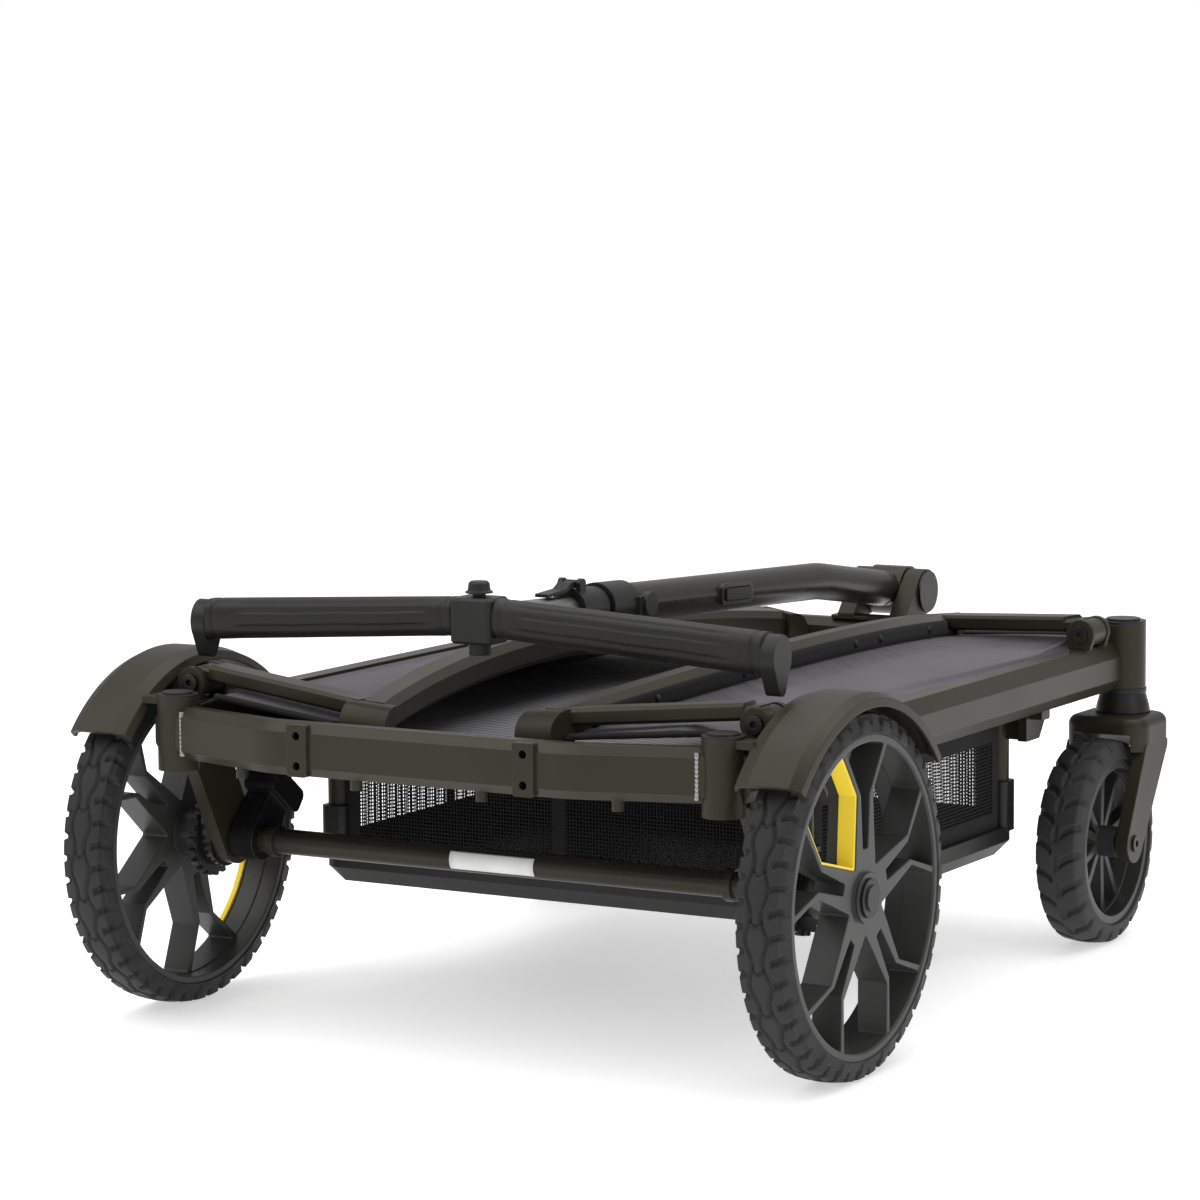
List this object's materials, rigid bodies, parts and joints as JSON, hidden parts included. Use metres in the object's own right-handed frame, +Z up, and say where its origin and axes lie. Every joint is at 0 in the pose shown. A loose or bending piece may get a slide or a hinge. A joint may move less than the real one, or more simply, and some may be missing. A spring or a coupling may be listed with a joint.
{
  "type": "folding stroller wagon",
  "caption": "Folding stroller wagon stored flat: tube frame with foot well, side walls folded in, telescopic handle laid over them, big rear wheels, swivel front casters.",
  "frame": {"origin": "on the ground, midway between the rear tyres' rear and the handle hinge's front, on the centre plane", "axes": "+Z up, +Y forwards to the swivel wheels and the handle hinge, +X to the right"},
  "size_m": [0.6414, 0.846, 0.3545],
  "materials": {
    "fabric": "woven, matt",
    "frame": "satin powder coat",
    "frame_plastic": "satin moulded",
    "dark_plastic": "satin moulded",
    "gloss_plastic": "glossy moulded",
    "tyre": "matt rubber with lugs",
    "rim": "satin moulded",
    "accent": "satin yellow",
    "steel": "blackened",
    "tube": "satin powder coat",
    "inner_tube": "satin anodised",
    "grip": "soft grained grip",
    "mat": "quilted",
    "mesh": "open mesh"
  },
  "bodies": {
    "base": {"frame_sockets": "frame_plastic", "side_rail_left": "frame", "side_rail_right": "frame", "rear_crossbar": "frame", "front_crossbar": "frame", "socket_caps": "dark_plastic", "hinge_brackets": "frame_plastic", "hinge_pins": "steel", "floor_panels": "mat", "floor_mat": "mat", "footwell_frame": "frame", "footwell_tray": "dark_plastic", "footwell_mesh": "mesh", "rear_axle_tube": "tube", "rear_legs": "frame", "fender_left": "frame_plastic", "fender_right": "frame_plastic", "brake_housings": "gloss_plastic", "caster_cups": "dark_plastic", "handle_yoke": "frame_plastic"},
    "handle_outer": {"handle_arm": "tube", "arm_collar": "dark_plastic"},
    "arm_button": {"arm_button": "dark_plastic"},
    "handle_middle": {"mid_tube": "tube", "clamp_collar": "dark_plastic"},
    "clamp_lever": {"clamp_lever": "dark_plastic"},
    "handle_inner": {"inner_tube": "inner_tube", "handle_hub": "dark_plastic", "handle_grips": "grip", "grip_end_caps": "dark_plastic"},
    "hub_knob": {"hub_knob": "dark_plastic"},
    "brake_pedal": {"brake_pedal": "gloss_plastic"},
    "wall_left": {"wall_rail_left": "frame", "wall_corners_left": "frame_plastic", "wall_posts_left": "frame", "wall_fabric_left": "fabric"},
    "rear_wheel_left": {"rear_tyre_left": "tyre", "rear_rim_left": "rim", "rear_accent_left": "accent", "hub_cap_left": "dark_plastic", "brake_disc_left": "dark_plastic"},
    "brake_pin_left": {"brake_pin_left": "steel"},
    "caster_left": {"caster_fork_left": "frame_plastic", "front_axle_left": "steel"},
    "front_wheel_left": {"front_tyre_left": "tyre", "front_rim_left": "rim"},
    "wall_right": {"wall_rail_right": "frame", "wall_corners_right": "frame_plastic", "wall_posts_right": "frame", "wall_fabric_right": "fabric"},
    "rear_wheel_right": {"rear_tyre_right": "tyre", "rear_rim_right": "rim", "rear_accent_right": "accent", "hub_cap_right": "dark_plastic", "brake_disc_right": "dark_plastic"},
    "brake_pin_right": {"brake_pin_right": "steel"},
    "caster_right": {"caster_fork_right": "frame_plastic", "front_axle_right": "steel"},
    "front_wheel_right": {"front_tyre_right": "tyre", "front_rim_right": "rim"}
  },
  "joints": [
    {"name": "handle_fold", "type": "hinge", "parent": "base", "child": "handle_outer", "pos_m": [0, 0.401, 0.2755], "axis": [-1, 0, 0], "range_deg": [0, 150]},
    {"name": "handle_extend_outer", "type": "slide", "parent": "handle_outer", "child": "handle_middle", "axis": [0, -0.9989, 0.0474], "range_m": [0, 0.24]},
    {"name": "handle_extend_inner", "type": "slide", "parent": "handle_middle", "child": "handle_inner", "axis": [0, -0.9989, 0.0474], "range_m": [0, 0.22]},
    {"name": "clamp_lever_open", "type": "hinge", "parent": "handle_middle", "child": "clamp_lever", "pos_m": [0, -0.171, 0.33856], "axis": [-1, 0, 0], "range_deg": [0, 100]},
    {"name": "arm_button_press", "type": "slide", "parent": "handle_outer", "child": "arm_button", "axis": [-1, 0, 0], "range_m": [0, 0.0022], "stiffness_N_per_m": 300},
    {"name": "hub_knob_press", "type": "slide", "parent": "handle_inner", "child": "hub_knob", "axis": [0, 0, -1], "range_m": [0, 0.0025], "stiffness_N_per_m": 400},
    {"name": "brake_pedal_press", "type": "hinge", "parent": "base", "child": "brake_pedal", "pos_m": [0, -0.287, 0.136], "axis": [-1, 0, 0], "range_deg": [0, 25]},
    {"name": "wall_left_unfold", "type": "hinge", "parent": "base", "child": "wall_left", "pos_m": [-0.2494, 0, 0.265], "axis": [0, -1, 0], "range_deg": [0, 100]},
    {"name": "rear_wheel_left_spin", "type": "hinge", "parent": "base", "child": "rear_wheel_left", "pos_m": [-0.295, -0.287, 0.136], "axis": [1, 0, 0], "continuous": true},
    {"name": "brake_pin_left_slide", "type": "slide", "parent": "base", "child": "brake_pin_left", "axis": [-1, 0, 0], "range_m": [0, 0.005]},
    {"name": "caster_left_swivel", "type": "hinge", "parent": "base", "child": "caster_left", "pos_m": [-0.256, 0.327, 0.195], "axis": [0, 0, 1], "continuous": true},
    {"name": "front_wheel_left_spin", "type": "hinge", "parent": "caster_left", "child": "front_wheel_left", "pos_m": [-0.256, 0.2685, 0.087], "axis": [1, 0, 0], "continuous": true},
    {"name": "wall_right_unfold", "type": "hinge", "parent": "base", "child": "wall_right", "pos_m": [0.2494, 0, 0.265], "axis": [0, 1, 0], "range_deg": [0, 100]},
    {"name": "rear_wheel_right_spin", "type": "hinge", "parent": "base", "child": "rear_wheel_right", "pos_m": [0.295, -0.287, 0.136], "axis": [1, 0, 0], "continuous": true},
    {"name": "brake_pin_right_slide", "type": "slide", "parent": "base", "child": "brake_pin_right", "axis": [1, 0, 0], "range_m": [0, 0.005]},
    {"name": "caster_right_swivel", "type": "hinge", "parent": "base", "child": "caster_right", "pos_m": [0.256, 0.327, 0.195], "axis": [0, 0, 1], "continuous": true},
    {"name": "front_wheel_right_spin", "type": "hinge", "parent": "caster_right", "child": "front_wheel_right", "pos_m": [0.256, 0.2685, 0.087], "axis": [1, 0, 0], "continuous": true}
  ],
  "couplings": [
    {"joint": "wall_left_unfold", "follows": "handle_fold", "ratio": 0.66},
    {"joint": "brake_pin_left_slide", "follows": "brake_pedal_press", "m_per_rad": 0.0112},
    {"joint": "wall_right_unfold", "follows": "handle_fold", "ratio": 0.648},
    {"joint": "brake_pin_right_slide", "follows": "brake_pedal_press", "m_per_rad": 0.0112}
  ]
}
